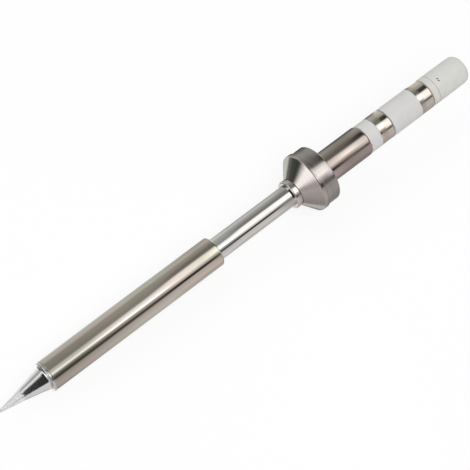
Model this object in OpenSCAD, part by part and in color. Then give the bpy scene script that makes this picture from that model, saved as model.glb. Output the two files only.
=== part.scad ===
// Soldering iron tip: a plug-in heating cartridge with a fine conical bit.
// The long axis is X. The point looks towards -X and the contacts towards +X.
// The origin is the middle of the collar's rear face, which seats against the handle.

/* [Working cone] */
// Radius of the rounded point
point_r = 0.18; // [0.1:0.02:0.4]
// Half angle of the working cone
cone_angle = 12; // [9:0.5:12.5]
// Length of the cone, from the point to the flare
cone_l = 9.15; // [7:0.05:9.5]
// Radius of the hollow flare behind the cone
flare_r = 0.35; // [0.1:0.05:0.4]
// Length of the lip that stands in front of the sleeve
lip_l = 0.36; // [0.3:0.02:0.8]
// Radius of the lip's front edge
lip_round = 0.26; // [0.1:0.02:0.28]

/* [Shank of the bit] */
// Length of the shank, from the sleeve's front edge to its rear face
shank_l = 13; // [11:0.5:16]
// Diameter of the heater bore
heater_bore_d = 3.2; // [2.8:0.1:3.8]
// Depth of the heater bore, from the shank's rear face
heater_bore_l = 10.3; // [8:0.1:10.8]

/* [Front sleeve] */
// Outside diameter of the sleeve and of the bit's lip
sleeve_d = 5.6; // [5.4:0.1:6.4]
// Wall of the sleeve
sleeve_wall = 0.3; // [0.2:0.05:0.35]
// Length of the sleeve
sleeve_l = 36.45; // [32:0.05:46]
// Gap between the bit's lip and the sleeve
sleeve_gap = 0.1; // [0.05:0.05:0.3]
// Radius of the sleeve's front edge
sleeve_front_round = 0.08; // [0.02:0.02:0.18]
// Radius of the sleeve's rolled rear edge
sleeve_rear_round = 0.4; // [0.2:0.05:0.6]
// Thickness of the wall that the rolled edge closes with
sleeve_end_l = 0.4; // [0.2:0.05:0.8]
// Gap between the rolled edge and the neck tube
sleeve_neck_gap = 0.04; // [0.02:0.02:0.1]

/* [Neck] */
// Outside diameter of the neck tube
neck_d = 4.05; // [3.8:0.05:4.4]
// Wall of the neck tube
neck_wall = 0.3; // [0.15:0.05:0.35]
// Length of the neck that shows
neck_show_l = 16.9; // [10:0.1:25]
// Length of the bush that holds the neck in the sleeve
bush_l = 4.5; // [3:0.1:7]
// Length of the neck tube behind the step inside the collar
neck_tail_l = 2.5; // [0.5:0.1:6]

/* [Collar] */
// Diameter of the collar's flange
flange_d = 11.24; // [9:0.02:14]
// Length of the flange's cylindrical edge
flange_l = 0.95; // [0.3:0.05:1.5]
// Chamfer between the flange and the cone in front of it
flange_chamfer = 0.12; // [0.04:0.02:0.24]
// Half angle of the collar's cone
collar_angle = 49; // [40:1:60]
// Diameter at which the collar's cone starts
collar_cone_d = 5.3; // [5:0.05:6]
// Diameter of the drum behind the flange
drum_d = 10.84; // [8.6:0.02:12]
// Length of the drum
drum_l = 2.65; // [2:0.05:8]
// Radius of the drum's rear edge
drum_round = 0.35; // [0.1:0.05:0.8]
// Diameter of the boss in front of the cone
boss_d = 5.3; // [4.9:0.02:6]
// Length of the boss
boss_l = 0.6; // [0.4:0.05:3]
// Diameter of the bead at the front of the boss
bead_d = 5.38; // [5:0.02:6.2]
// Length of the bead
bead_l = 0.5; // [0.35:0.05:1.2]
// Radius of the bead's front edge
bead_round = 0.2; // [0.1:0.02:0.3]
// Width of the groove between the boss and the cone
groove_w = 0.13; // [0.05:0.01:0.4]
// Depth of that groove
groove_depth = 0.2; // [0.05:0.01:0.25]
// Depth of the collar's rear socket, which takes the barrel's spigot
socket_l = 4; // [3:0.1:5.5]
// Relief around the barrel in the collar's rear face
seat_relief = 0.1; // [0.05:0.05:0.5]

/* [Contact barrel] */
// Outside diameter of the barrel, which is the earth contact
barrel_d = 5.83; // [5.7:0.01:6.6]
// Wall of the barrel
barrel_wall = 0.5; // [0.35:0.05:0.55]
// Depth of the step down to the spigot that is pressed into the collar
spigot_step = 0.2; // [0.05:0.05:0.2]
// Length of the barrel behind the collar
barrel_l = 10.1; // [8:0.1:16]
// Radius of the barrel's rear edge
barrel_round = 0.4; // [0.1:0.05:0.4]

/* [Contact end] */
// Diameter of the front band and the middle spacer
spacer_d = 5.64; // [5.4:0.02:5.7]
// Diameter of the front contact ring
front_ring_d = 5.66; // [5.4:0.02:5.7]
// Diameter of the rear contact ring
rear_ring_d = 5.62; // [5.4:0.02:5.7]
// Diameter of the thin spacer behind the rear ring
rear_spacer_d = 5.58; // [5.4:0.02:5.7]
// Diameter of the stem that carries the rings
stem_d = 4.7; // [4.2:0.1:5]
// Length of the carrier's plug inside the barrel
plug_l = 5; // [3:0.5:7]
// Length of the front band
band_l = 2.45; // [1:0.05:4]
// Radius of the front band's front edge
band_round = 0.12; // [0.02:0.02:0.3]
// Length of each contact ring
ring_l = 3.1; // [2:0.05:5]
// Chamfer of each ring's rear edge
ring_chamfer = 0.25; // [0.05:0.05:0.4]
// Length of the middle spacer
middle_spacer_l = 6.6; // [4:0.1:10]
// Length of the rear spacer
rear_spacer_l = 1.35; // [0.8:0.05:3]

/* [End cap] */
// Diameter of the cap at its front
cap_front_d = 5.58; // [5.3:0.02:6.2]
// Diameter of the cap at its rear
cap_rear_d = 5.5; // [4.8:0.02:6]
// Length of the cap
cap_l = 7.6; // [5.5:0.1:12]
// Radius of the cap's rear edge
cap_round = 1.3; // [0.5:0.1:2]
// Depth of the cap's socket
cap_socket_l = 3.5; // [2:0.1:4]

/* [Heater] */
// Length of the ceramic heater tube
heater_tube_l = 17.5; // [15:0.5:21]
// Wall of the heater tube
heater_tube_wall = 0.5; // [0.4:0.05:0.5]
// Diameter of the ceramic core
core_d = 1.6; // [1.4:0.1:1.6]
// Diameter of the heating wire
wire_d = 0.25; // [0.15:0.01:0.26]
// Distance between the turns of the winding
wire_pitch = 0.9; // [0.8:0.1:2]
// Length of the winding's tail at the weld
front_tail_l = 0.7; // [0.5:0.1:1.5]
// Least length of the winding's tail at the supply lead
rear_tail_l = 1.2; // [0.8:0.1:3]
// Diameter of the welded thermocouple bead
weld_d = 2.1; // [2.1:0.02:2.2]
// Length of the welded bead
weld_l = 0.6; // [0.4:0.1:1]
// Gap between the welded bead and the bottom of the bore
weld_gap = 0.1; // [0.05:0.05:0.3]

/* [Leads] */
// Diameter of the supply and the return lead
lead_d = 0.5; // [0.3:0.05:0.5]
// Clearance around a lead
lead_gap = 0.05; // [0.02:0.01:0.08]
// Distance of the supply lead from the axis
supply_offset = 0.95; // [0.9:0.01:1]
// Radius of the bend where a lead turns to its ring
lead_bend_r = 0.5; // [0.4:0.05:0.6]
// Diameter of the twin-bore insulator
insulator_d = 3.1; // [2.9:0.05:3.2]
// Thickness of the solder between a lead and its ring
solder_l = 0.35; // [0.1:0.05:0.4]

/* [Hidden] */

// Fineness of the turned pieces and of the thin wires
round_fn = 96;
wire_fn = 32;
// How far a cut runs past the surface that it opens
past = 1;

// Radii that mating pieces share
sleeve_r = sleeve_d / 2;
shank_r = sleeve_r - sleeve_wall;
neck_r = neck_d / 2;
flange_r = flange_d / 2;
drum_r = drum_d / 2;
boss_r = boss_d / 2;
bead_r = bead_d / 2;
barrel_r = barrel_d / 2;
plug_r = barrel_r - barrel_wall;
spigot_r = barrel_r - spigot_step;
relief_r = barrel_r + seat_relief;
spacer_r = spacer_d / 2;
stem_r = stem_d / 2;
heater_bore_r = heater_bore_d / 2;
core_r = core_d / 2;

// Stations along the axis in front of the seat
socket_x = -socket_l;
drum_front_x = -drum_l;
flange_front_x = drum_front_x - flange_l;
collar_cone_l = (flange_r - collar_cone_d / 2) / tan(collar_angle);
collar_cone_x = flange_front_x - collar_cone_l;
boss_rear_x = collar_cone_x - groove_w;
bead_rear_x = boss_rear_x - boss_l;
collar_front_x = bead_rear_x - bead_l;
sleeve_rear_x = collar_front_x - neck_show_l;
sleeve_front_x = sleeve_rear_x - sleeve_l;
lip_rear_x = sleeve_front_x - sleeve_gap;
lip_front_x = lip_rear_x - lip_l;
cone_rear_x = lip_front_x - flare_r;
point_x = cone_rear_x - cone_l;

// Stations inside the sleeve and the neck
bush_rear_x = sleeve_rear_x - sleeve_end_l;
bush_front_x = bush_rear_x - bush_l;
neck_rear_x = socket_x + neck_tail_l;
shank_rear_x = sleeve_front_x + shank_l;
heater_front_x = shank_rear_x - heater_bore_l;
heater_rear_x = heater_front_x + heater_tube_l;
weld_front_x = heater_front_x + weld_gap;
core_front_x = weld_front_x + weld_l;

// Stations behind the seat
plug_front_x = barrel_l - plug_l;
front_ring_x = barrel_l + band_l;
middle_spacer_x = front_ring_x + ring_l;
rear_ring_x = middle_spacer_x + middle_spacer_l;
rear_spacer_x = rear_ring_x + ring_l;
cap_x = rear_spacer_x + rear_spacer_l;
cap_rear_x = cap_x + cap_l;
stem_rear_x = cap_x + cap_socket_l;

// The rounded point touches the cone along a circle
cone_touch_r = point_r * cos(cone_angle);
cone_touch_x = point_x + point_r * (1 - sin(cone_angle));
cone_rear_r = cone_touch_r + (cone_rear_x - cone_touch_x) * tan(cone_angle);

// Winding: the wire's middle line stays outside the core between the facets' corners
turn_steps = 12;
wire_sides = 6;
wire_gap = 0.012;
wire_path_r = (core_r + wire_gap + wire_d / 2) / cos(180 / turn_steps);
core_l = heater_rear_x - core_front_x;
turns = floor((core_l - front_tail_l - rear_tail_l) / wire_pitch);
winding_x = core_front_x + front_tail_l;
tail_roll = 180;

// Leads
lead_hole_d = lead_d + 2 * lead_gap;
leg_end_r = stem_r - solder_l;
front_leg_x = front_ring_x + ring_l / 2;
rear_leg_x = rear_ring_x + ring_l / 2;

function unit(v) = v / norm(v);

// Point of a turned outline, from its station along the axis and its radius
function at(x, r) = [r, x];

// Turns an outline of [radius, station] about the long axis
module turned() {
    rotate([90, 0, 90]) rotate_extrude($fn = round_fn) children();
}

// Outline of a tube from x1 to x2
module tube_outline(x1, x2, inner_r, outer_r) {
    translate(at(x1, inner_r)) square([outer_r - inner_r, x2 - x1]);
}

// What a radius takes off the corner p of an outline, or fills in a hollow corner;
// a and b are the next points of the outline on either side
module corner(p, a, b, radius) {
    u = unit(a - p);
    v = unit(b - p);
    half = acos(u * v) / 2;
    middle = p + unit(u + v) * radius / sin(half);
    outside = p - unit(u + v) * radius;
    difference() {
        polygon([outside, p + u * radius / tan(half), middle, p + v * radius / tan(half)]);
        translate(middle) circle(r = radius, $fn = round_fn);
    }
}

// Straight wire or bore along the axis, then a bend and a leg that runs out to leg_r;
// side is 1 towards +Y and -1 towards -Y
module lead_path(d, x1, x2, offset_y, leg_r, side) {
    bend_x = x2 - lead_bend_r;
    leg_y = offset_y + side * lead_bend_r;
    translate([x1, offset_y, 0]) rotate([0, 90, 0]) cylinder(d = d, h = bend_x - x1, $fn = wire_fn);
    translate([bend_x, leg_y, 0])
        rotate([0, 0, side > 0 ? -90 : 0])
        rotate_extrude(angle = 90, $fn = round_fn)
        translate([lead_bend_r, 0]) circle(d = d, $fn = wire_fn);
    translate([x2, leg_y, 0])
        rotate([-90 * side, 0, 0])
        cylinder(d = d, h = leg_r - abs(leg_y), $fn = wire_fn);
}

// Bit: rounded point, cone, hollow flare and lip, with a bored shank inside the sleeve
module tip_bit() {
    flare_top_r = cone_rear_r + flare_r;
    color("gainsboro") turned() {
        difference() {
            union() {
                intersection() {
                    translate(at(point_x + point_r, 0)) circle(r = point_r, $fn = round_fn);
                    translate(at(point_x, 0)) square([point_r, 2 * point_r]);
                }
                polygon([
                    at(point_x + point_r, 0), at(cone_touch_x, 0), at(cone_touch_x, cone_touch_r),
                    at(cone_rear_x, cone_rear_r), at(lip_front_x, cone_rear_r),
                    at(lip_front_x, sleeve_r), at(lip_rear_x, sleeve_r), at(lip_rear_x, shank_r),
                    at(shank_rear_x, shank_r), at(shank_rear_x, 0)
                ]);
                corner(
                    at(lip_front_x, cone_rear_r), at(cone_rear_x, cone_rear_r),
                    at(lip_front_x, flare_top_r), flare_r
                );
            }
            corner(
                at(lip_front_x, sleeve_r), at(lip_rear_x, sleeve_r),
                at(lip_front_x, cone_rear_r), lip_round
            );
            tube_outline(heater_front_x, shank_rear_x + past, 0, heater_bore_r);
        }
    }
}

// Drawn sleeve whose rear edge is rolled in over the bush
module front_sleeve() {
    mouth_r = neck_r + sleeve_neck_gap;
    color("silver") turned() {
        difference() {
            tube_outline(sleeve_front_x, sleeve_rear_x, mouth_r, sleeve_r);
            tube_outline(sleeve_front_x - past, bush_rear_x, 0, shank_r);
            corner(
                at(sleeve_front_x, sleeve_r), at(sleeve_rear_x, sleeve_r),
                at(sleeve_front_x, shank_r), sleeve_front_round
            );
            corner(
                at(sleeve_rear_x, sleeve_r), at(sleeve_front_x, sleeve_r),
                at(sleeve_rear_x, mouth_r), sleeve_rear_round
            );
        }
    }
}

// Mineral packing between the bit's shank and the bush
module sleeve_packing() {
    color("ivory") turned() {
        tube_outline(shank_rear_x, heater_rear_x, heater_bore_r, shank_r);
        tube_outline(heater_rear_x, bush_front_x, insulator_d / 2, shank_r);
    }
}

// Steel bush that centres the neck tube in the sleeve
module sleeve_bush() {
    color("slategray") turned() tube_outline(bush_front_x, bush_rear_x, neck_r, shank_r);
}

// Thin tube between the sleeve and the collar, which keeps the heat in front
module neck_tube() {
    color("lightgray") turned() tube_outline(bush_front_x, neck_rear_x, neck_r - neck_wall, neck_r);
}

// Turned collar: bead, boss, groove, cone, flange and drum, bored in two steps
module collar() {
    chamfer_front_x = flange_front_x - flange_chamfer * cos(collar_angle);
    chamfer_front_r = flange_r - flange_chamfer * sin(collar_angle);
    color("darkgray") turned() {
        difference() {
            polygon([
                at(collar_front_x, neck_r), at(collar_front_x, bead_r), at(bead_rear_x, bead_r),
                at(bead_rear_x, boss_r), at(boss_rear_x, boss_r),
                at(boss_rear_x, boss_r - groove_depth), at(collar_cone_x, boss_r - groove_depth),
                at(collar_cone_x, collar_cone_d / 2), at(chamfer_front_x, chamfer_front_r),
                at(flange_front_x + flange_chamfer, flange_r),
                at(drum_front_x, flange_r), at(drum_front_x, drum_r), at(0, drum_r),
                at(0, relief_r), at(spigot_r - relief_r, spigot_r), at(socket_x, spigot_r),
                at(socket_x, neck_r)
            ]);
            corner(
                at(collar_front_x, bead_r), at(collar_front_x, neck_r),
                at(bead_rear_x, bead_r), bead_round
            );
            corner(at(0, drum_r), at(drum_front_x, drum_r), at(0, relief_r), drum_round);
        }
    }
}

// Barrel behind the collar, with a pressed-in spigot: it plugs into the handle as the earth contact
module contact_barrel() {
    color("silver") turned() {
        difference() {
            polygon([
                at(socket_x, plug_r), at(socket_x, spigot_r), at(0, spigot_r),
                at(0, barrel_r), at(barrel_l, barrel_r), at(barrel_l, plug_r)
            ]);
            corner(at(barrel_l, barrel_r), at(0, barrel_r), at(barrel_l, plug_r), barrel_round);
        }
    }
}

// Moulded carrier: plug, front band and stem, with a passage for each lead
module contact_carrier() {
    color("white") difference() {
        turned() {
            tube_outline(plug_front_x, barrel_l, 0, plug_r);
            difference() {
                tube_outline(barrel_l, front_ring_x, 0, spacer_r);
                corner(
                    at(barrel_l, spacer_r), at(front_ring_x, spacer_r),
                    at(barrel_l, plug_r), band_round
                );
            }
            tube_outline(front_ring_x, stem_rear_x, 0, stem_r);
        }
        lead_path(lead_hole_d, plug_front_x - past, front_leg_x, -supply_offset, stem_r + past, -1);
        lead_path(lead_hole_d, plug_front_x - past, rear_leg_x, 0, stem_r + past, 1);
    }
}

// Contact ring from station x, with a chamfered rear edge
module contact_ring(x, outer_r) {
    rear_x = x + ring_l;
    turned() polygon([
        at(x, stem_r), at(x, outer_r), at(rear_x - ring_chamfer, outer_r),
        at(rear_x, outer_r - ring_chamfer), at(rear_x, stem_r)
    ]);
}

module front_contact_ring() {
    color("lightsteelblue") contact_ring(front_ring_x, front_ring_d / 2);
}

module rear_contact_ring() {
    color("lightsteelblue") contact_ring(rear_ring_x, rear_ring_d / 2);
}

// Insulating sleeve between the two rings
module middle_spacer() {
    color("whitesmoke") turned() tube_outline(middle_spacer_x, rear_ring_x, stem_r, spacer_r);
}

// Thin insulating ring between the rear ring and the cap
module rear_spacer() {
    color("gainsboro") turned() tube_outline(rear_spacer_x, cap_x, stem_r, rear_spacer_d / 2);
}

// Cap on the end of the stem
module end_cap() {
    color("whitesmoke") turned() {
        difference() {
            polygon([
                at(cap_x, 0), at(cap_x, cap_front_d / 2),
                at(cap_rear_x, cap_rear_d / 2), at(cap_rear_x, 0)
            ]);
            corner(
                at(cap_rear_x, cap_rear_d / 2), at(cap_x, cap_front_d / 2),
                at(cap_rear_x, 0), cap_round
            );
            tube_outline(cap_x - past, stem_rear_x, 0, stem_r);
        }
    }
}

// Ceramic tube that keeps the winding off the bit
module heater_tube() {
    color("ivory") turned()
        tube_outline(heater_front_x, heater_rear_x, heater_bore_r - heater_tube_wall, heater_bore_r);
}

// Bored ceramic core under the winding
module heater_core() {
    color("linen") turned() tube_outline(core_front_x, heater_rear_x, lead_hole_d / 2, core_r);
}

// Heating wire: a tail on the weld, the turns and a tail on the supply lead
function turn_point(x, roll) = [x, wire_path_r * cos(roll), wire_path_r * sin(roll)];

wire_path = concat(
    [turn_point(core_front_x, tail_roll)],
    [
        for (i = [0 : turns * turn_steps])
            turn_point(winding_x + wire_pitch * i / turn_steps, tail_roll + 360 * i / turn_steps)
    ],
    [turn_point(heater_rear_x, tail_roll)]
);

// Direction of the path at its point i, which at both ends is the axis
function path_way(i) = i == 0 || i == len(wire_path) - 1 ? [1, 0, 0]
    : unit(unit(wire_path[i + 1] - wire_path[i]) + unit(wire_path[i] - wire_path[i - 1]));

// Points of the wire's section around the point i of the path
function wire_section(i) =
    let (outward = unit([0, wire_path[i][1], wire_path[i][2]]))
    let (way = path_way(i))
    let (across = unit(outward - way * (outward * way)))
    let (beside = cross(way, across))
    [
        for (k = [0 : wire_sides - 1])
            wire_path[i] + wire_d / 2
                * (across * cos(360 * k / wire_sides) + beside * sin(360 * k / wire_sides))
    ];

module heater_winding() {
    rings = len(wire_path);
    last = (rings - 1) * wire_sides;
    color("dimgray") polyhedron(
        points = [for (i = [0 : rings - 1]) each wire_section(i)],
        faces = concat(
            [[for (k = [0 : wire_sides - 1]) k]],
            [
                for (i = [0 : rings - 2], k = [0 : wire_sides - 1])
                    let (a = i * wire_sides, next = (k + 1) % wire_sides)
                    each [
                        [a + k, a + k + wire_sides, a + next],
                        [a + next, a + k + wire_sides, a + next + wire_sides]
                    ]
            ],
            [[for (k = [wire_sides - 1 : -1 : 0]) last + k]]
        )
    );
}

// Weld that joins the winding to the return lead and senses the heat
module thermocouple_bead() {
    color("gray") turned() tube_outline(weld_front_x, core_front_x, 0, weld_d / 2);
}

// Ceramic insulator with a bore for each lead, from the heater to the carrier
module lead_insulator() {
    insulator_l = plug_front_x - heater_rear_x;
    color("linen") translate([heater_rear_x, 0, 0]) rotate([0, 90, 0]) difference() {
        cylinder(d = insulator_d, h = insulator_l, $fn = round_fn);
        for (y = [0, -supply_offset])
            translate([0, y, -past]) cylinder(d = lead_hole_d, h = insulator_l + 2 * past, $fn = wire_fn);
    }
}

// Lead from the winding's tail to the front ring
module supply_lead() {
    color("goldenrod") lead_path(lead_d, heater_rear_x, front_leg_x, -supply_offset, leg_end_r, -1);
}

// Lead from the weld, through the core, to the rear ring
module return_lead() {
    color("peru") lead_path(lead_d, core_front_x, rear_leg_x, 0, leg_end_r, 1);
}

// Solder that fills the mouth of a lead's passage up to the ring's bore
module ring_joint(x, side) {
    intersection() {
        turned() tube_outline(x - ring_l / 2, x + ring_l / 2, 0, stem_r);
        translate([x, side * leg_end_r, 0])
            rotate([-90 * side, 0, 0])
            cylinder(d = lead_hole_d, h = stem_r, $fn = wire_fn);
    }
}

module front_ring_joint() {
    color("lightslategray") ring_joint(front_leg_x, -1);
}

module rear_ring_joint() {
    color("lightslategray") ring_joint(rear_leg_x, 1);
}

tip_bit();
front_sleeve();
sleeve_packing();
sleeve_bush();
neck_tube();
collar();
contact_barrel();
contact_carrier();
front_contact_ring();
middle_spacer();
rear_contact_ring();
rear_spacer();
end_cap();
heater_tube();
heater_core();
heater_winding();
thermocouple_bead();
lead_insulator();
supply_lead();
return_lead();
front_ring_joint();
rear_ring_joint();
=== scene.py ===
"""Plug-in soldering iron tip with a fine conical bit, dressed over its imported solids.

The long axis is X, the point looks towards -X, and the origin is the middle of the collar's rear face.
Outlines are lists of (station, radius, rounding) in millimetres. Blender's own units are metres.
"""

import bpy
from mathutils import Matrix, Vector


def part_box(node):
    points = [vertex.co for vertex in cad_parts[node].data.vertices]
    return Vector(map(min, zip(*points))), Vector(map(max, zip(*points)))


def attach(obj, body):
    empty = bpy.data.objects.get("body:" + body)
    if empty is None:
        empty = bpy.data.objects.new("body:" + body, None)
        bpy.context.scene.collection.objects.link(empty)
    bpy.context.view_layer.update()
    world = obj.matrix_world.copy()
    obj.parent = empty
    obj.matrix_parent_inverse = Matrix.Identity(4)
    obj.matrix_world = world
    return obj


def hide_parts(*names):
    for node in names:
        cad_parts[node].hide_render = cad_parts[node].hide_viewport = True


bl_info = {
    "name": "Soldering Iron Tip",
    "version": (1, 0, 0),
    "blender": (4, 5, 0),
    "location": "3D Viewport > Sidebar > Soldering Tip",
    "description": "Builds a plug-in soldering iron tip, its finishes and a plain studio",
    "category": "Add Mesh",
}

from math import atan2, cos, degrees, hypot, pi, radians, sin, tan

import bmesh
import bpy
from bpy.props import FloatProperty, FloatVectorProperty, IntProperty, PointerProperty
from mathutils import Vector

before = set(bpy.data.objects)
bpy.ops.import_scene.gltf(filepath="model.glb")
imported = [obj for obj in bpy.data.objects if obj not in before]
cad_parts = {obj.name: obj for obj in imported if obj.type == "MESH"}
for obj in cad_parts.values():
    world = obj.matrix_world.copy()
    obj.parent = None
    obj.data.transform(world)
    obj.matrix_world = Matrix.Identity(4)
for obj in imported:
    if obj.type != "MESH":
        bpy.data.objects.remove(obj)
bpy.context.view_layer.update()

MM = 0.001
ROOT = "root"
# Points of an outline closer than this are one point, in metres
SAME_POINT = 1e-7
# Edges that turn by more than this stay crisp
CRISP_ANGLE = radians(32)


def length(name, description, default):
    """A size in millimetres, kept in metres so that Blender shows it with its unit."""
    return FloatProperty(name=name, description=description, default=default * MM, min=0, unit="LENGTH", precision=5)


def tint(name, description, default):
    return FloatVectorProperty(
        name=name, description=description, default=default, subtype="COLOR", size=3, min=0, max=1
    )


def span(node_name):
    """First and last station of a solid, and its largest radius, in millimetres."""
    low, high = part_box(node_name)
    return low.x / MM, high.x / MM, high.z / MM


class TipSizes(bpy.types.PropertyGroup):
    """Sizes inside the pieces; their ends and outer radii come from the solids."""

    sides: IntProperty(name="Sides", description="Facets around each turned piece", default=192, min=48, max=256)
    edge_break: length("Edge break", "Rounding of the edges that are only broken", 0.04)

    point_radius: length("Point radius", "Radius of the rounded point", 0.28)
    cone_angle: FloatProperty(
        name="Cone angle", description="Half angle of the working cone", default=radians(11.4), subtype="ANGLE"
    )
    tinned_length: length("Tinned length", "How far the solder reaches from the point", 4.6)
    cone_hollow: length("Hollow of the cone", "How far the middle of the cone lies below a straight one", 0.1)
    flare_radius: length("Flare radius", "Hollow radius between the cone and the lip", 0.5)
    lip_length: length("Lip length", "Length of the lip in front of the sleeve", 0.42)
    lip_rounding: length("Lip rounding", "Radius of the lip's front edge", 0.2)
    shank_radius: length("Shank radius", "Radius of the bit inside the sleeve", 2.5)
    heater_bore_radius: length("Heater bore radius", "Radius of the bore for the heater", 1.6)
    heater_bore_length: length("Heater bore length", "Depth of the bore for the heater", 10.3)

    sleeve_wall: length("Sleeve wall", "Wall of the front sleeve", 0.3)
    sleeve_front_rounding: length("Sleeve front edge", "Radius of the sleeve's front edge", 0.08)
    sleeve_rear_rounding: length("Sleeve rear edge", "Radius of the rolled rear edge", 0.4)
    sleeve_end: length("Sleeve end", "Thickness of the wall that the rolled edge closes with", 0.4)
    sleeve_neck_gap: length("Sleeve gap", "Gap between the rolled edge and the neck", 0.012)
    neck_wall: length("Neck wall", "Wall of the neck tube", 0.3)

    bead_length: length("Bead length", "Length of the bead at the collar's front", 0.5)
    bead_radius: length("Bead radius", "Outer radius of the bead", 2.69)
    bead_rounding: length("Bead rounding", "Radius of the bead's front edge", 0.2)
    boss_length: length("Boss length", "Length of the boss behind the bead", 0.6)
    boss_radius: length("Boss radius", "Outer radius of the boss", 2.65)
    groove_width: length("Groove width", "Width of the groove in front of the cone", 0.13)
    groove_depth: length("Groove depth", "Depth of that groove", 0.2)
    collar_cone_radius: length("Collar cone radius", "Radius at which the collar's cone starts", 2.65)
    flange_length: length("Flange length", "Length of the flange's cylindrical edge", 0.95)
    flange_rounding: length("Flange rounding", "Radius between the cone and the flange", 0.2)
    drum_length: length("Drum length", "Length of the drum behind the flange", 2.65)
    drum_radius: length("Drum radius", "Outer radius of the drum", 5.42)
    drum_rounding: length("Drum rounding", "Radius of the drum's rear edge", 0.35)
    socket_length: length("Socket length", "Depth of the collar's rear socket", 4)
    spigot_radius: length("Spigot radius", "Radius of the barrel inside the collar", 2.715)
    seat_relief: length("Seat relief", "Relief around the barrel in the collar's rear face", 0.1)

    barrel_bore_radius: length("Barrel bore radius", "Inner radius of the contact barrel", 2.415)
    barrel_rounding: length("Barrel rounding", "Radius of the barrel's rear edge", 0.4)
    band_rounding: length("Band rounding", "Radius of the front band's front edge", 0.12)
    stem_radius: length("Stem radius", "Radius of the stem under the rings", 2.35)
    ring_chamfer: length("Ring chamfer", "Chamfer of each ring's rear edge", 0.25)
    ring_break: length("Ring edges", "Rounding of the chamfer's two edges", 0.03)
    cap_joint: length("Cap joint", "Rounding of the two edges where the rear spacer meets the cap", 0.1)
    cap_rear_radius: length("Cap rear radius", "Radius of the cap at its rear", 2.75)
    cap_rounding: length("Cap rounding", "Radius of the cap's rear edge", 1.3)
    cap_socket: length("Cap socket", "Depth of the cap's socket", 3.5)


class TipFinishes(bpy.types.PropertyGroup):
    """Colours of the finishes."""

    chrome: tint("Chrome", "Plating of the cone", (0.87, 0.865, 0.865))
    tin: tint("Tin", "Solder on the point", (0.93, 0.93, 0.925))
    sleeve: tint("Sleeve steel", "Drawn steel of the front sleeve", (0.76, 0.69, 0.6))
    neck: tint("Neck steel", "Polished steel of the neck", (0.92, 0.9, 0.87))
    collar: tint("Collar steel", "Turned steel of the collar", (0.6, 0.562, 0.54))
    barrel: tint("Barrel steel", "Satin steel of the contact barrel", (0.59, 0.515, 0.47))
    contact: tint("Contact metal", "Plating of the contact rings", (0.9, 0.83, 0.75))
    plastic: tint("White plastic", "Front band and middle spacer", (0.65, 0.635, 0.615))
    clear_plastic: tint("Clear plastic", "Thin rear spacer", (0.66, 0.635, 0.585))
    cap_plastic: tint("Cap plastic", "End cap", (0.655, 0.652, 0.61))
    ceramic: tint("Ceramic", "Heater tube, core and insulator", (0.87, 0.85, 0.8))
    packing: tint("Packing", "Mineral packing in the sleeve", (0.8, 0.78, 0.7))
    inner_metal: tint("Inner metal", "Bush, winding and welds inside", (0.42, 0.41, 0.4))
    lead: tint("Lead metal", "Leads to the rings", (0.72, 0.5, 0.32))


def sizes():
    return bpy.context.scene.tip_sizes


def finishes():
    return bpy.context.scene.tip_finishes


def mm(value):
    """A size of the panel, in millimetres."""
    return value / MM


# Modelling


def deselect_all():
    for other in bpy.context.selected_objects:
        other.select_set(False)


def pick_vertices(piece, wanted):
    """Selects the vertices for which wanted is true, with the edges and faces between them."""
    mesh = bmesh.from_edit_mesh(piece.data)
    for vertex in mesh.verts:
        vertex.select = wanted(vertex.co)
    mesh.select_flush_mode()
    bmesh.update_edit_mesh(piece.data)


def draw_outline(name, points):
    """Draws a chain of vertices through the points and stays in edit mode."""
    deselect_all()
    bpy.ops.mesh.primitive_circle_add(vertices=3, radius=MM, location=(0, 0, 0))
    piece = bpy.context.object
    piece.name = piece.data.name = name
    bpy.ops.object.mode_set(mode="EDIT")
    bpy.ops.mesh.select_mode(type="VERT")
    bpy.ops.mesh.select_all(action="SELECT")
    bpy.ops.mesh.merge(type="CENTER")
    bpy.ops.transform.translate(value=points[0])
    for here, there in zip(points, points[1:]):
        bpy.ops.mesh.extrude_region_move(TRANSFORM_OT_translate={"value": there - here})
    return piece


def round_corner(piece, before, corner, after, rounding):
    """Rounds one corner of an outline with an arc of that radius."""
    turn = (corner - before).angle(after - corner)
    pick_vertices(piece, lambda place: (place - corner).length < SAME_POINT)
    segments = max(3, round(degrees(turn) / 7))
    bpy.ops.mesh.bevel(
        offset=rounding * tan(turn / 2), offset_type="OFFSET", segments=segments, profile=0.5, affect="VERTICES"
    )


def turned(name, outline, closed=True):
    """Draws an outline of (station, radius, rounding) and spins it about the long axis.

    A closed outline is a tube's wall. An open one starts and ends on the axis.
    """
    points = [Vector((x, 0, radius)) * MM for x, radius, _ in outline]
    piece = draw_outline(name, points)
    if closed:
        ends = points[0], points[-1]
        pick_vertices(piece, lambda place: min((place - end).length for end in ends) < SAME_POINT)
        bpy.ops.mesh.edge_face_add()
    for n, (_, _, rounding) in enumerate(outline):
        if rounding > 0:
            round_corner(piece, points[n - 1], points[n], points[(n + 1) % len(points)], rounding * MM)
    bpy.ops.mesh.select_all(action="SELECT")
    bpy.ops.mesh.spin(steps=sizes().sides, angle=2 * pi, center=(0, 0, 0), axis=(1, 0, 0))
    bpy.ops.mesh.select_all(action="SELECT")
    bpy.ops.mesh.remove_doubles(threshold=SAME_POINT)
    bpy.ops.mesh.normals_make_consistent(inside=False)
    bpy.ops.object.mode_set(mode="OBJECT")
    bpy.ops.object.shade_smooth_by_angle(angle=CRISP_ANGLE)
    return piece


def finish_piece(piece, node_name, material):
    """Gives a piece its material and puts it in the place of its solid."""
    if not piece.data.polygons:
        raise RuntimeError(f"{piece.name} has no faces")
    piece.data.materials.clear()
    piece.data.materials.append(material)
    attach(piece, ROOT)
    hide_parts(node_name)


# Materials


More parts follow.
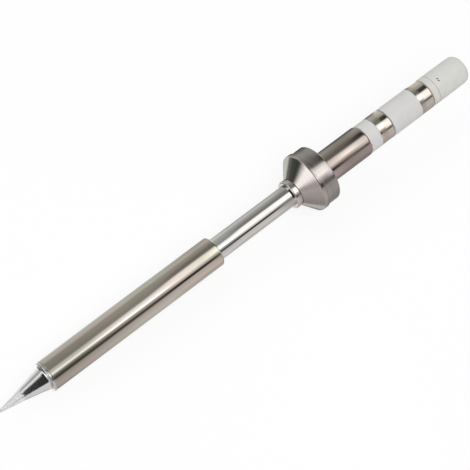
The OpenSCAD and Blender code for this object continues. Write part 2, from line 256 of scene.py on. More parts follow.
def add_node(tree, kind, inputs=None, **settings):
    """Adds a node, with its settings, and sets or links its inputs."""
    node = tree.nodes.new(kind)
    for key, value in settings.items():
        setattr(node, key, value)
    for socket, value in (inputs or {}).items():
        if isinstance(value, bpy.types.NodeSocket):
            tree.links.new(value, node.inputs[socket])
        else:
            node.inputs[socket].default_value = value
    return node


def math_node(tree, operation, *values, clamp=False):
    """Result of a Math node on sockets or numbers."""
    node = add_node(tree, "ShaderNodeMath", dict(enumerate(values)), operation=operation, use_clamp=clamp)
    return node.outputs[0]


def ramp(tree, factor, stops, interpolation="LINEAR"):
    """Colour ramp over stops of (position, colour or grey)."""
    node = add_node(tree, "ShaderNodeValToRGB", {"Fac": factor})
    node.color_ramp.interpolation = interpolation
    elements = node.color_ramp.elements
    while len(elements) > 1:
        elements.remove(elements[-1])
    for n, (position, colour) in enumerate(stops):
        element = elements[0] if n == 0 else elements.new(position)
        element.position = position
        grey = isinstance(colour, (int, float))
        element.color = (colour, colour, colour, 1) if grey else (*colour, 1)
    return node.outputs["Color"]


def mix_colours(tree, factor, first, second, blend_type="MIX"):
    """Mix of two colours or colour sockets."""
    node = add_node(tree, "ShaderNodeMix", data_type="RGBA", blend_type=blend_type, clamp_factor=True)
    for socket, value in ((node.inputs[0], factor), (node.inputs[6], first), (node.inputs[7], second)):
        if isinstance(value, bpy.types.NodeSocket):
            tree.links.new(value, socket)
        elif isinstance(value, float):
            socket.default_value = value
        else:
            socket.default_value = (*value, 1)
    return node.outputs[2]


def places(tree, stretch=(1, 1, 1)):
    """Object coordinates in millimetres, stretched along the axes."""
    coordinates = add_node(tree, "ShaderNodeTexCoord")
    mapping = add_node(
        tree,
        "ShaderNodeMapping",
        {"Vector": coordinates.outputs["Object"], "Scale": tuple(k / MM for k in stretch)},
    )
    return mapping.outputs["Vector"]


def noise(tree, where, scale, detail=2.0, roughness=0.5):
    """Noise between about 0.25 and 0.75 over millimetres."""
    node = add_node(
        tree, "ShaderNodeTexNoise", {"Vector": where, "Scale": scale, "Detail": detail, "Roughness": roughness}
    )
    return node.outputs["Fac"]


def reach(tree, value, low, high, to_low=0.0, to_high=1.0):
    """Value from low..high mapped to to_low..to_high, with soft ends."""
    node = add_node(
        tree,
        "ShaderNodeMapRange",
        {"Value": value, "From Min": low, "From Max": high, "To Min": to_low, "To Max": to_high},
        interpolation_type="SMOOTHSTEP",
    )
    return node.outputs["Result"]


def reach_linear(tree, value, low, high, to_low=0.0, to_high=1.0):
    """The same in a straight line."""
    node = add_node(
        tree,
        "ShaderNodeMapRange",
        {"Value": value, "From Min": low, "From Max": high, "To Min": to_low, "To Max": to_high},
    )
    return node.outputs["Result"]


def station(tree):
    """Station along the long axis, in millimetres."""
    split = add_node(tree, "ShaderNodeSeparateXYZ", {"Vector": places(tree)})
    return split.outputs["X"]


def turning_lines(tree, pitch):
    """One-dimensional noise that runs in rings, as a lathe leaves it, on cones and drums alike."""
    where = places(tree)
    split = add_node(tree, "ShaderNodeSeparateXYZ", {"Vector": where})
    flat = add_node(tree, "ShaderNodeVectorMath", {0: where, 1: (0.0, 1.0, 1.0)}, operation="MULTIPLY")
    radius = add_node(tree, "ShaderNodeVectorMath", {0: flat.outputs[0]}, operation="LENGTH")
    run = math_node(tree, "ADD", split.outputs["X"], radius.outputs["Value"])
    node = add_node(
        tree, "ShaderNodeTexNoise", {"W": run, "Scale": 1 / pitch, "Detail": 2.0}, noise_dimensions="1D"
    )
    return node.outputs["Fac"]


def bump(tree, height, distance, strength=1.0, normal=None):
    """Bump of that many millimetres."""
    inputs = {"Height": height, "Distance": distance * MM, "Strength": strength}
    if normal:
        inputs["Normal"] = normal
    return add_node(tree, "ShaderNodeBump", inputs).outputs["Normal"]


def new_material(name):
    """An empty material, its tree and its shader."""
    material = bpy.data.materials.new(name)
    material.use_nodes = True
    tree = material.node_tree
    return material, tree, tree.nodes["Principled BSDF"]


def wire(tree, socket, shader, name):
    tree.links.new(socket, shader.inputs[name])


def plated_bit():
    """Bright plating on the cone, and a soft coat of solder on its point."""
    material, tree, shader = new_material("plated_bit")
    sizes_now = sizes()
    edge = span("tip_bit")[0] + mm(sizes_now.tinned_length)
    ragged = math_node(tree, "MULTIPLY_ADD", noise(tree, places(tree), 1.4, 3.0), 1.8, -0.9)
    tinned = reach(tree, math_node(tree, "ADD", station(tree), ragged), edge + 0.16, edge - 0.16)
    patches = noise(tree, places(tree, (0.5, 1, 1)), 1.3, 3.0)
    chrome, tin = tuple(finishes().chrome), tuple(finishes().tin)
    chrome_tone = mix_colours(tree, reach(tree, patches, 0.35, 0.7), chrome, [c * 0.95 for c in chrome])
    tin_tone = mix_colours(tree, reach(tree, patches, 0.35, 0.7), tin, [c * 0.93 for c in tin])
    wire(tree, mix_colours(tree, tinned, chrome_tone, tin_tone), shader, "Base Color")
    wire(tree, reach_linear(tree, tinned, 0.0, 1.0, 1.0, 0.65), shader, "Metallic")
    polish = reach(tree, noise(tree, places(tree, (0.4, 1, 1)), 3.0, 4.0), 0.3, 0.75, 0.05, 0.11)
    dull = reach(tree, patches, 0.3, 0.7, 0.26, 0.34)
    roughness = add_node(tree, "ShaderNodeMix", {0: tinned, 2: polish, 3: dull}, data_type="FLOAT")
    wire(tree, roughness.outputs[0], shader, "Roughness")
    grain = noise(tree, places(tree, (0.7, 1, 1)), 1.6, 1.0)
    soldered = bump(tree, math_node(tree, "MULTIPLY", tinned, grain), 0.006)
    bare = reach(tree, tinned, 0.0, 1.0, 1.0, 0.0)
    lines = math_node(tree, "MULTIPLY", bare, turning_lines(tree, 0.09))
    wire(tree, bump(tree, lines, 0.0018, normal=soldered), shader, "Normal")
    return material


def drawn_steel(name, colour, tints, roughness, scratch=0.0006, rim=1.0):
    """Drawn tube: fine lines along the axis and a slow change of tint over its length."""
    material, tree, shader = new_material(name)
    drift = noise(tree, places(tree, (0.16, 0.45, 0.45)), 1.0, 1.5)
    tone = ramp(tree, drift, [(0.36, tints[0]), (0.5, tuple(colour)), (0.64, tints[1])], "EASE")
    lines = noise(tree, places(tree, (0.06, 4.5, 4.5)), 1.0, 4.0, 0.6)
    streaked = mix_colours(tree, reach(tree, lines, 0.3, 0.7, 0.0, 0.5), tone, [0.9] * 3, "MULTIPLY")
    wire(tree, streaked, shader, "Base Color")
    shader.inputs["Metallic"].default_value = 1.0
    shader.inputs["Specular Tint"].default_value = (rim, rim, rim, 1.0)
    wire(tree, reach(tree, lines, 0.3, 0.7, roughness[0], roughness[1]), shader, "Roughness")
    wire(tree, bump(tree, lines, scratch), shader, "Normal")
    return material


def turned_steel(name, colour, roughness, pitch, depth, polish_and_highlight_until):
    """Turned metal: rings left by the tool in its tone, its gloss and its surface, with a painted highlight as a
    lighter tone in front of a station, where the gloss is also finer.
    """
    material, tree, shader = new_material(name)
    lines = turning_lines(tree, pitch)
    colour = tuple(colour)
    tone = mix_colours(tree, reach(tree, lines, 0.3, 0.7), [c * 0.94 for c in colour], [c * 1.05 for c in colour])
    patches = noise(tree, places(tree), 0.3, 2.0)
    stained = mix_colours(
        tree, reach(tree, patches, 0.4, 0.65, 0.0, 0.6), tone, (0.94, 0.98, 0.9), "MULTIPLY"
    )
    # Painted highlight: in front of this station the tone is lighter, standing in for the bright highlight on the bead
    # and boss; the finer gloss there is real polish.
    polish_and_highlight = reach(tree, station(tree), polish_and_highlight_until + 0.05, polish_and_highlight_until - 0.05)
    tone_with_painted_highlight = mix_colours(tree, polish_and_highlight, stained, [c * 1.4 for c in colour])
    wire(tree, tone_with_painted_highlight, shader, "Base Color")
    shader.inputs["Metallic"].default_value = 1.0
    shader.inputs["Specular Tint"].default_value = (0.7, 0.7, 0.68, 1.0)
    gloss = reach(tree, lines, 0.3, 0.7, roughness[0], roughness[1])
    wire(tree, math_node(tree, "MULTIPLY", gloss, reach(tree, polish_and_highlight, 0.0, 1.0, 1.0, 0.4)), shader, "Roughness")
    wire(tree, bump(tree, lines, depth), shader, "Normal")
    return material


def moulded_plastic(name, colour, roughness=0.42):
    """Moulded plastic with a faint mottle and a satin skin."""
    material, tree, shader = new_material(name)
    mottle = noise(tree, places(tree), 0.55, 3.0)
    colour = tuple(colour)
    cool = (colour[0] * 0.95, colour[1] * 0.975, colour[2] * 1.01)
    tone = mix_colours(tree, reach(tree, mottle, 0.38, 0.62), colour, cool)
    wire(tree, tone, shader, "Base Color")
    skin = noise(tree, places(tree), 9.0, 3.0)
    wire(tree, reach(tree, skin, 0.3, 0.7, roughness - 0.06, roughness + 0.08), shader, "Roughness")
    shader.inputs["IOR"].default_value = 1.46
    wire(tree, bump(tree, skin, 0.004), shader, "Normal")
    return material


def cap_plastic():
    """Cap plastic with a tiny dark fleck left by handling, and painted shade in the joint at its front."""
    material = moulded_plastic("cap_plastic", finishes().cap_plastic)
    tree = material.node_tree
    shader = tree.nodes["Principled BSDF"]
    tone = shader.inputs["Base Color"].links[0].from_socket
    where = places(tree)
    fleck = None
    for centre in CAP_FLECKS:
        reached = add_node(tree, "ShaderNodeVectorMath", {0: where, 1: centre}, operation="DISTANCE")
        spot = reach(tree, reached.outputs["Value"], FLECK_RADIUS * 1.2, FLECK_RADIUS * 0.8)
        fleck = spot if fleck is None else math_node(tree, "MAXIMUM", fleck, spot)
    front_x = span("end_cap")[0]
    # Painted shade: the tone darkens towards the cap's front face, where shade falls in the joint with the rear
    # spacer.
    joint_shade = reach(tree, station(tree), front_x + 0.11, front_x + 0.02, 0.0, 0.45)
    joint_shaded_tone = mix_colours(tree, joint_shade, tone, (0.16, 0.155, 0.15))
    wire(tree, mix_colours(tree, fleck, joint_shaded_tone, (0.06, 0.06, 0.06)), shader, "Base Color")
    return material


def plain_grain(name, colour, metallic, roughness, scale=4.0, depth=0.01):
    """Finish of the sealed pieces inside: an even grain in tone and gloss."""
    material, tree, shader = new_material(name)
    grain = noise(tree, places(tree), scale, 3.0)
    colour = tuple(colour)
    tone = mix_colours(tree, reach(tree, grain, 0.3, 0.7), [c * 0.88 for c in colour], colour)
    wire(tree, tone, shader, "Base Color")
    shader.inputs["Metallic"].default_value = metallic
    wire(tree, reach(tree, grain, 0.3, 0.7, roughness - 0.06, roughness + 0.06), shader, "Roughness")
    wire(tree, bump(tree, grain, depth), shader, "Normal")
    return material


# Centres of the cap's flecks, in millimetres, and their radius
CAP_FLECKS = ((27.8, -0.3, 2.77), (27.88, -0.42, 2.755), (27.76, -0.74, 2.69), (27.84, -0.85, 2.65))
FLECK_RADIUS = 0.12


# Pieces


class BuildBit(bpy.types.Operator):
    """Turn the bit: point, cone, flare, lip and the bored shank"""

    bl_idname = "tip.build_bit"
    bl_label = "Bit"

    def execute(self, context):
        s = sizes()
        point_x, rear_x, lip_r = span("tip_bit")
        sleeve_x = span("front_sleeve")[0]
        # The lip ends a hair in front of the sleeve
        lip_rear = sleeve_x - 0.1
        lip_front = lip_rear - mm(s.lip_length)
        point_r = mm(s.point_radius)
        slope, hollow = tan(s.cone_angle), 4 * mm(s.cone_hollow)
        first_angle = atan2(slope - hollow / (lip_front - point_x), 1)
        dome = [
            (point_x + point_r * (1 - cos(a)), point_r * sin(a), 0)
            for a in (n / 12 * (pi / 2 - first_angle) for n in range(13))
        ]
        touch_x, touch_r, _ = dome[-1]
        cone_length = lip_front - touch_x
        cone = [
            (touch_x + cone_length * t, touch_r + cone_length * slope * t - hollow * t * (1 - t), 0)
            for t in (n / 12 for n in range(1, 12))
        ]
        cone_end_r = touch_r + cone_length * slope
        bore_x = rear_x - mm(s.heater_bore_length)
        outline = dome + cone + [
            (lip_front, cone_end_r, mm(s.flare_radius)),
            (lip_front, lip_r, mm(s.lip_rounding)),
            (lip_rear, lip_r, mm(s.edge_break)),
            (lip_rear, mm(s.shank_radius), 0),
            (rear_x, mm(s.shank_radius), mm(s.edge_break)),
            (rear_x, mm(s.heater_bore_radius), 0),
            (bore_x, mm(s.heater_bore_radius), 0),
            (bore_x, 0, 0),
        ]
        finish_piece(turned("bit", outline, closed=False), "tip_bit", plated_bit())
        return {"FINISHED"}


class BuildSleeve(bpy.types.Operator):
    """Turn the drawn front sleeve with its rolled rear edge"""

    bl_idname = "tip.build_sleeve"
    bl_label = "Front sleeve"

    def execute(self, context):
        s = sizes()
        front_x, rear_x, outer_r = span("front_sleeve")
        bore_r = outer_r - mm(s.sleeve_wall)
        mouth_r = span("neck_tube")[2] + mm(s.sleeve_neck_gap)
        outline = [
            (front_x, bore_r, mm(s.edge_break)),
            (front_x, outer_r, mm(s.sleeve_front_rounding)),
            (rear_x, outer_r, mm(s.sleeve_rear_rounding)),
            (rear_x, mouth_r, mm(s.edge_break)),
            (rear_x - mm(s.sleeve_end), mouth_r, 0),
            (rear_x - mm(s.sleeve_end), bore_r, 0),
        ]
        finish = drawn_steel(
            "sleeve_steel", finishes().sleeve, ((0.71, 0.675, 0.575), (0.8, 0.7, 0.63)), (0.05, 0.1)
        )
        finish_piece(turned("sleeve", outline), "front_sleeve", finish)
        return {"FINISHED"}


class BuildNeck(bpy.types.Operator):
    """Turn the neck tube, its steel brought to a mirror polish"""

    bl_idname = "tip.build_neck"
    bl_label = "Neck"

    def execute(self, context):
        s = sizes()
        front_x, rear_x, outer_r = span("neck_tube")
        bore_r = outer_r - mm(s.neck_wall)
        outline = [
            (front_x, bore_r, 0),
            (front_x, outer_r, mm(s.edge_break)),
            (rear_x, outer_r, mm(s.edge_break)),
            (rear_x, bore_r, 0),
        ]
        finish = drawn_steel(
            "neck_steel", finishes().neck, ((0.89, 0.9, 0.86), (0.95, 0.9, 0.88)), (0.025, 0.05), 0.0003
        )
        finish_piece(turned("neck", outline), "neck_tube", finish)
        return {"FINISHED"}


class BuildCollar(bpy.types.Operator):
    """Turn the collar: bead, boss, groove, cone, flange and drum"""

    bl_idname = "tip.build_collar"
    bl_label = "Collar"

    def execute(self, context):
        s = sizes()
        front_x, rear_x, flange_r = span("collar")
        neck_r = span("neck_tube")[2]
        bead_rear = front_x + mm(s.bead_length)
        boss_rear = bead_rear + mm(s.boss_length)
        cone_front = boss_rear + mm(s.groove_width)
        drum_front = rear_x - mm(s.drum_length)
        flange_front = drum_front - mm(s.flange_length)
        socket_x = rear_x - mm(s.socket_length)
        groove_r = mm(s.boss_radius) - mm(s.groove_depth)
        relief = span("contact_barrel")[2] + mm(s.seat_relief)
        outline = [
            (front_x, neck_r, 0),
            (front_x, mm(s.bead_radius), mm(s.bead_rounding)),
            (bead_rear, mm(s.bead_radius), mm(s.edge_break)),
            (bead_rear, mm(s.boss_radius), 0),
            (boss_rear, mm(s.boss_radius), mm(s.edge_break)),
            (boss_rear, groove_r, 0),
            (cone_front, groove_r, 0),
            (cone_front, mm(s.collar_cone_radius), 0.03),
            (flange_front, flange_r, mm(s.flange_rounding)),
            (drum_front, flange_r, mm(s.edge_break)),
            (drum_front, mm(s.drum_radius), 0),
            (rear_x, mm(s.drum_radius), mm(s.drum_rounding)),
            (rear_x, relief, 0.03),
            (rear_x + mm(s.spigot_radius) - relief, mm(s.spigot_radius), 0),
            (socket_x, mm(s.spigot_radius), 0),
            (socket_x, neck_r, 0),
        ]
        # The bead and boss get a lighter tone, which is a painted highlight, and a finer gloss.
        finish = turned_steel("turned_steel", finishes().collar, (0.09, 0.15), 0.22, 0.0009, boss_rear)
        finish_piece(turned("collar_body", outline), "collar", finish)
        return {"FINISHED"}


class BuildBarrel(bpy.types.Operator):
    """Turn the contact barrel behind the collar"""

    bl_idname = "tip.build_barrel"
    bl_label = "Contact barrel"

    def execute(self, context):
        s = sizes()
        front_x, rear_x, outer_r = span("contact_barrel")
        seat_x = span("collar")[1]
        bore_r = mm(s.barrel_bore_radius)
        outline = [
            (front_x, bore_r, 0),
            (front_x, mm(s.spigot_radius), mm(s.edge_break)),
            (seat_x, mm(s.spigot_radius), 0),
            (seat_x, outer_r, mm(s.edge_break)),
            (rear_x, outer_r, mm(s.barrel_rounding)),
            (rear_x, bore_r, 0),
        ]
        finish = drawn_steel(
            "barrel_steel", finishes().barrel, ((0.575, 0.52, 0.468), (0.61, 0.505, 0.475)), (0.09, 0.15), 0.0008, 0.68
        )
        finish_piece(turned("barrel", outline), "contact_barrel", finish)
        return {"FINISHED"}


class BuildInsulators(bpy.types.Operator):
    """Turn the carrier with its band and stem, the middle spacer and the rear spacer"""

    bl_idname = "tip.build_insulators"
    bl_label = "Insulators"

    def execute(self, context):
        s = sizes()
        plug_x, stem_rear, band_r = span("contact_carrier")
        barrel_rear = span("contact_barrel")[1]
        ring_x = span("front_contact_ring")[0]
        plug_r, stem_r = mm(s.barrel_bore_radius), mm(s.stem_radius)
        edge = mm(s.edge_break)
        carrier = [
            (plug_x, 0, 0),
            (plug_x, plug_r, edge),
            (barrel_rear, plug_r, 0),
            (barrel_rear, band_r, mm(s.band_rounding)),
            (ring_x, band_r, edge),
            (ring_x, stem_r, 0),
            (stem_rear, stem_r, edge),
            (stem_rear, 0, 0),
        ]
        white = moulded_plastic("white_plastic", finishes().plastic)
        finish_piece(turned("carrier", carrier, closed=False), "contact_carrier", white)
        clear = moulded_plastic("clear_plastic", finishes().clear_plastic, 0.3)
        spacers = (
            ("spacer_between_rings", "middle_spacer", "white_plastic", white, edge),
            ("spacer_at_cap", "rear_spacer", "clear_plastic", clear, mm(s.cap_joint)),
        )
        for name, node_name, slot_name, finish, rear_edge in spacers:
            front_x, rear_x, outer_r = span(node_name)
            outline = [
                (front_x, stem_r, 0),
                (front_x, outer_r, edge),
                (rear_x, outer_r, rear_edge),
                (rear_x, stem_r, 0),
            ]
            finish_piece(turned(name, outline), node_name, finish)
        return {"FINISHED"}


class BuildRings(bpy.types.Operator):
    """Turn both contact rings with a chamfered rear edge"""

    bl_idname = "tip.build_rings"
    bl_label = "Contact rings"

    def execute(self, context):
        s = sizes()
        stem_r, chamfer = mm(s.stem_radius), mm(s.ring_chamfer)
        finish = drawn_steel(
            "contact_metal", finishes().contact, ((0.87, 0.83, 0.74), (0.94, 0.83, 0.76)), (0.05, 0.1), 0.0004
        )
        for name, node_name in (("ring_front", "front_contact_ring"), ("ring_rear", "rear_contact_ring")):
            front_x, rear_x, outer_r = span(node_name)
            outline = [
                (front_x, stem_r, 0),
                (front_x, outer_r, mm(s.edge_break)),
                (rear_x - chamfer, outer_r, mm(s.ring_break)),
                (rear_x, outer_r - chamfer, mm(s.ring_break)),
                (rear_x, stem_r, 0),
            ]
            finish_piece(turned(name, outline), node_name, finish)
        return {"FINISHED"}


class BuildCap(bpy.types.Operator):
    """Turn the end cap over the stem"""

    bl_idname = "tip.build_cap"
    bl_label = "End cap"

    def execute(self, context):
        s = sizes()
        front_x, rear_x, front_r = span("end_cap")
        socket_x = front_x + mm(s.cap_socket)
        stem_r = mm(s.stem_radius)
        outline = [
            (rear_x, 0, 0),
            (rear_x, mm(s.cap_rear_radius), mm(s.cap_rounding)),
            (front_x, front_r, mm(s.cap_joint)),
            (front_x, stem_r, 0),
            (socket_x, stem_r, 0),
            (socket_x, 0, 0),
        ]
        finish_piece(turned("cap", outline, closed=False), "end_cap", cap_plastic())
        return {"FINISHED"}


class DressInside(bpy.types.Operator):
    """Give the sealed solids inside their finishes"""

    bl_idname = "tip.dress_inside"
    bl_label = "Sealed parts"

    def execute(self, context):
        f = finishes()
        ceramic = plain_grain("fired_ceramic", f.ceramic, 0.0, 0.6)
        packing = plain_grain("pressed_packing", f.packing, 0.0, 0.9, 9.0, 0.03)
        inner = plain_grain("inner_metal", f.inner_metal, 1.0, 0.42)
        lead = plain_grain("lead_metal", f.lead, 1.0, 0.3)
        solder = plain_grain("solder_joint", f.tin, 1.0, 0.35)
        dressing = {
            ceramic: ("heater_tube", "heater_core", "lead_insulator"),
            packing: ("sleeve_packing",),
            inner: ("sleeve_bush", "heater_winding", "thermocouple_bead"),
            lead: ("supply_lead", "return_lead"),
            solder: ("front_ring_joint", "rear_ring_joint"),
        }
        for material, node_names in dressing.items():
            for node_name in node_names:
                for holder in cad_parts[node_name].material_slots:
                    holder.material = material
        return {"FINISHED"}


# Studio

# Camera, in millimetres: where it stands and the point of the axis that it looks at
EYE = Vector((-142.7, -140.636, 307.629))
AIM = Vector((-19.6, 0.064, 0.029))
LENS = 160.85
# The camera's direction across the long axis, from which the studio's panels are counted
ACROSS_Y, ACROSS_Z = -0.4157, 0.9095

# Panels around the object as metal sees them: degrees about the long axis from the camera's side,
# positive towards the camera's lower edge, and brightness
COLLAR_PANELS = (
    (-180, 0.85), (-172, 0.8), (-165, 0.1), (-146, 0.26), (-134, 0.22), (-122, 0.1), (-102, 0.06),
    (-94, 0.15), (-86, 0.6), (-78, 1.0), (-64, 1.55), (-50, 1.6), (-8, 1.5), (12, 1.15), (40, 0.6), (56, 0.5), (80, 0.58),
    (100, 0.52), (130, 0.4), (150, 0.34), (165, 0.2), (172, 0.8), (180, 0.85),
)
NOSE_PANELS = (
    (-180, 1.1), (-140, 0.95), (-106, 0.7), (-88, 0.38), (-78, 0.34), (-64, 0.62), (-48, 0.9), (-32, 0.93),
    (-23, 0.35), (-15, 0.04), (50, 0.03), (57, 0.25), (64, 0.7), (76, 0.7), (110, 0.66), (130, 0.72),
    (150, 0.82), (180, 0.9),
)
POINT_PANELS = (
    (-180, 1.25), (-140, 1.2), (-100, 1.0), (-70, 0.62), (-40, 0.62), (-16, 1.3), (16, 1.3), (42, 0.62),
    (80, 0.58), (120, 0.62), (150, 0.68), (180, 0.8),
)
SLEEVE_FRONT_PANELS = (
    (-180, 0.95), (-150, 0.84), (-128, 0.56), (-100, 0.54), (-72, 0.31), (-24, 0.26), (-14, 0.6), (0, 0.74),
    (7, 1.2), (14, 1.1), (21, 0.35), (32, 0.15), (42, 0.06), (50, 0.06), (58, 0.34), (74, 0.42),
    (110, 0.46), (136, 0.35), (180, 0.22),
)
SLEEVE_REAR_PANELS = (
    (-180, 0.6), (-150, 0.58), (-128, 0.58), (-106, 0.6), (-72, 0.36), (-26, 0.29), (-17, 0.7), (-9, 1.05),
    (2, 1.25), (8, 1.85), (13, 1.7), (20, 0.55), (31, 0.34), (40, 0.07), (50, 0.09), (58, 0.48), (72, 0.55),
    (110, 0.64), (132, 0.56), (155, 0.56), (180, 0.6),
)
NECK_PANELS = (
    (-180, 0.45), (-150, 0.42), (-128, 0.46), (-106, 0.55), (-72, 0.33), (-42, 0.18), (-31, 0.26), (-22, 0.95),
    (-12, 1.1), (14, 1.1), (21, 0.75), (31, 0.48), (37, 0.03), (48, 0.03), (56, 0.54), (90, 0.62),
    (128, 0.46), (150, 0.54), (180, 0.66),
)
BARREL_PANELS = (
    (-180, 0.1), (-156, 0.12), (-138, 0.22), (-112, 0.4), (-88, 0.37), (-60, 0.22), (-38, 0.17), (-30, 0.26),
    (-20, 1.0), (-8, 1.65), (10, 1.8), (17, 0.95), (28, 0.38), (40, 0.22), (50, 0.26), (58, 0.38), (84, 0.43),
    (130, 0.36), (150, 0.44), (180, 0.6),
)
RING_PANELS = (
    (-180, 1.05), (-152, 1.0), (-130, 0.58), (-106, 0.56), (-66, 0.35), (-57, 0.07), (-36, 0.03), (-27, 0.12),
    (-20, 0.95), (-10, 1.15), (14, 1.2), (28, 1.1), (36, 0.55), (42, 0.12), (50, 0.14), (58, 0.5),
    (90, 0.51), (130, 0.41), (180, 0.3),
)
# Tints of dim and of bright panels, and the brightnesses between which one turns into the other
OLIVE_TO_ROSE = ((0.96, 1.0, 0.93), (1.02, 0.975, 0.99), 0.12, 0.5)
GREY_TO_WHITE = ((0.985, 0.99, 1.0), (1.0, 1.0, 1.0), 0.3, 0.9)
SAND_TO_ICE = ((1.0, 0.985, 0.96), (0.97, 1.015, 1.06), 0.3, 0.9)
SAND_TO_PEARL = ((1.0, 0.985, 0.96), (1.0, 1.0, 0.995), 0.3, 0.9)
SAND_TO_CREAM = ((1.0, 0.975, 0.955), (1.0, 0.975, 0.975), 0.3, 0.9)
# Where along the axis a reflection leaves for each of those panels, and how soon the next ones follow
ZONES = (
    (COLLAR_PANELS, OLIVE_TO_ROSE, -0.3, 0.08),
    (NOSE_PANELS, GREY_TO_WHITE, -0.12, 0.012),
    (POINT_PANELS, GREY_TO_WHITE, 0.08, 0.07),
    (SLEEVE_FRONT_PANELS, SAND_TO_ICE, 0.25, 0.05),
    (SLEEVE_REAR_PANELS, SAND_TO_ICE, 0.324, 0.012),
    (NECK_PANELS, SAND_TO_PEARL, 0.383, 0.01),
    (BARREL_PANELS, SAND_TO_CREAM, 0.434, 0.006),
    (RING_PANELS, SAND_TO_CREAM, 1.0, 0.01),
)
# Towards the camera's side the collar's panels only start this much nearer to the axis
NOSE_SHADE = 0.5
# How many degrees wider the dark panel over the cone is where the cone is steepest
NOSE_SPREAD = 26.0
# Tints of the whole room on its far and on its near side
LEAF_TINT, ROSE_TINT = (0.985, 1.005, 0.982), (1.01, 0.988, 0.992)


def panels(tree, angle, stops, tints):
    """Ramp of a studio's panels over an angle in degrees."""
    factor = reach_linear(tree, angle, -180.0, 180.0)
    grey = ramp(tree, factor, [((degree + 180) / 360, brightness) for degree, brightness in stops], "EASE")
    dim, bright, dim_until, bright_from = tints
    tint_there = mix_colours(tree, reach(tree, grey, dim_until, bright_from), dim, bright)
    return mix_colours(tree, 1.0, grey, tint_there, "MULTIPLY")


def light_world():
    """World that metal sees as long soft panels, and the camera as a white room."""
    world = bpy.data.worlds.new("studio")
    bpy.context.scene.world = world
    world.use_nodes = True
    tree = world.node_tree
    tree.nodes.clear()
    way = add_node(tree, "ShaderNodeTexCoord").outputs["Generated"]
    along = add_node(tree, "ShaderNodeSeparateXYZ", {"Vector": way}).outputs["X"]
    facing = add_node(
        tree, "ShaderNodeVectorMath", {0: way, 1: (0.0, ACROSS_Y, ACROSS_Z)}, operation="DOT_PRODUCT"
    )
    beside = add_node(
        tree, "ShaderNodeVectorMath", {0: way, 1: (0.0, -ACROSS_Z, ACROSS_Y)}, operation="DOT_PRODUCT"
    )
    turn = math_node(tree, "ARCTAN2", beside.outputs["Value"], facing.outputs["Value"])
    angle = math_node(tree, "MULTIPLY", turn, 180 / pi)
    facing_side = reach(tree, math_node(tree, "ABSOLUTE", angle), 100.0, 60.0, 0.0, NOSE_SHADE)
    towards = math_node(tree, "ADD", along, facing_side)
    over_the_edge = math_node(
        tree, "MULTIPLY", reach(tree, angle, -82.0, -46.0), reach(tree, angle, 0.0, 30.0, 1.0, 0.0)
    )
    steep = reach(tree, along, -0.155, -0.235, 0.0, NOSE_SPREAD)
    spread = math_node(tree, "MULTIPLY_ADD", over_the_edge, steep, angle)
    facing_only = math_node(tree, "SUBTRACT", towards, NOSE_SHADE)
    runs = {NOSE_PANELS: towards, POINT_PANELS: facing_only}
    room = panels(tree, angle, *ZONES[0][:2])
    for (_, _, end, blend), (stops, tints, _, _) in zip(ZONES, ZONES[1:]):
        run = runs.get(stops, along)
        there = panels(tree, spread if stops is NOSE_PANELS else angle, stops, tints)
        room = mix_colours(tree, reach(tree, run, end - blend, end + blend), room, there)
    side_tint = mix_colours(tree, reach(tree, angle, -40.0, 40.0), LEAF_TINT, ROSE_TINT)
    room = mix_colours(tree, 1.0, room, side_tint, "MULTIPLY")
    seen = add_node(tree, "ShaderNodeLightPath").outputs["Is Camera Ray"]
    background = add_node(
        tree, "ShaderNodeBackground", {"Color": mix_colours(tree, seen, room, (1.0, 1.0, 1.0)), "Strength": 1.0}
    )
    output = add_node(tree, "ShaderNodeOutputWorld")
    tree.links.new(background.outputs[0], output.inputs["Surface"])


def floor_material():
    """White floor that keeps a faint shadow."""
    material, tree, shader = new_material("floor_white")
    tree.nodes.remove(shader)
    output = tree.nodes["Material Output"]
    paper = reach(tree, noise(tree, places(tree), 0.02, 2.0), 0.3, 0.7, 0.9, 0.93)
    matt = add_node(tree, "ShaderNodeBsdfDiffuse", {"Color": paper})
    glow = add_node(tree, "ShaderNodeEmission", {"Color": (1.0, 1.0, 1.0, 1.0), "Strength": 1.0})
    both = add_node(tree, "ShaderNodeMixShader", {0: 0.86, 1: matt.outputs[0], 2: glow.outputs[0]})
    seen = add_node(tree, "ShaderNodeLightPath").outputs["Is Camera Ray"]
    split = add_node(tree, "ShaderNodeMixShader", {0: seen, 1: matt.outputs[0], 2: both.outputs[0]})
    tree.links.new(split.outputs[0], output.inputs["Surface"])
    return material


def add_floor():
    """Floor that the flange and the bit's lip lie on."""
    s = sizes()
    _, rear_x, flange_r = span("collar")
    sleeve_x, _, lip_r = span("front_sleeve")
    flange_x = rear_x - mm(s.drum_length) - mm(s.flange_length)
    slope = atan2(flange_r - lip_r, flange_x - sleeve_x)
    deselect_all()
    bpy.ops.mesh.primitive_plane_add(
        size=3.0, location=(flange_x * MM, 0, -flange_r * MM - 0.00002), rotation=(0, slope, 0)
    )
    floor = bpy.context.object
    floor.name = floor.data.name = "floor"
    bpy.ops.object.transform_apply(location=True, rotation=True, scale=True)
    floor.data.materials.append(floor_material())
    floor.visible_glossy = False


def add_lamp(name, place, energy, size):
    """Soft square lamp that looks at the middle of the object."""
    deselect_all()
    bpy.ops.object.light_add(type="AREA", location=place * MM)
    lamp = bpy.context.object
    lamp.name = lamp.data.name = name
    lamp.data.energy = energy
    lamp.data.size = size * MM
    lamp.rotation_euler = (place - AIM).to_track_quat("Z", "Y").to_euler()
    lamp.visible_glossy = False


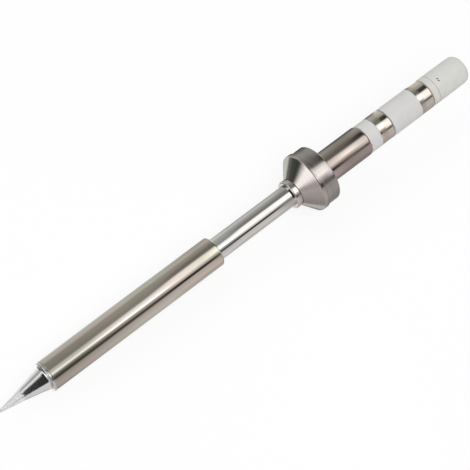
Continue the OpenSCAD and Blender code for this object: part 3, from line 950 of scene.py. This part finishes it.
def add_camera():
    deselect_all()
    bpy.ops.object.camera_add(location=EYE * MM)
    camera = bpy.context.object
    camera.rotation_euler = (EYE - AIM).to_track_quat("Z", "Y").to_euler()
    camera.data.sensor_width = 36
    camera.data.lens = LENS
    camera.data.clip_start = 0.01
    camera.data.clip_end = 20
    bpy.context.scene.camera = camera


class SetStage(bpy.types.Operator):
    """Set the floor, the lamps, the world and the camera"""

    bl_idname = "tip.set_stage"
    bl_label = "Stage"

    def execute(self, context):
        add_floor()
        light_world()
        add_lamp("key_lamp", Vector((-200, -380, 640)), 3.1, 500)
        add_lamp("fill_lamp", Vector((150, 420, 480)), 1.1, 600)
        add_camera()
        context.scene.view_settings.view_transform = "Standard"
        return {"FINISHED"}


STEPS = (
    BuildBit,
    BuildSleeve,
    BuildNeck,
    BuildCollar,
    BuildBarrel,
    BuildInsulators,
    BuildRings,
    BuildCap,
    DressInside,
    SetStage,
)


class TipPanel(bpy.types.Panel):
    """Steps that build the tip, with its sizes and colours"""

    bl_idname = "VIEW3D_PT_soldering_tip"
    bl_label = "Soldering Tip"
    bl_space_type = "VIEW_3D"
    bl_region_type = "UI"
    bl_category = "Soldering Tip"

    def draw(self, context):
        layout = self.layout
        for step in STEPS:
            layout.operator(step.bl_idname, text=step.bl_label)
        for group in (context.scene.tip_sizes, context.scene.tip_finishes):
            column = layout.column(align=True)
            for key in group.__annotations__:
                column.prop(group, key)


CLASSES = (TipSizes, TipFinishes, *STEPS, TipPanel)


def register():
    for cls in CLASSES:
        bpy.utils.register_class(cls)
    bpy.types.Scene.tip_sizes = PointerProperty(type=TipSizes)
    bpy.types.Scene.tip_finishes = PointerProperty(type=TipFinishes)


def unregister():
    del bpy.types.Scene.tip_finishes
    del bpy.types.Scene.tip_sizes
    for cls in reversed(CLASSES):
        bpy.utils.unregister_class(cls)


def main():
    register()
    for step in STEPS:
        area, action = step.bl_idname.split(".")
        getattr(getattr(bpy.ops, area), action)()


if __name__ == "__main__":
    main()
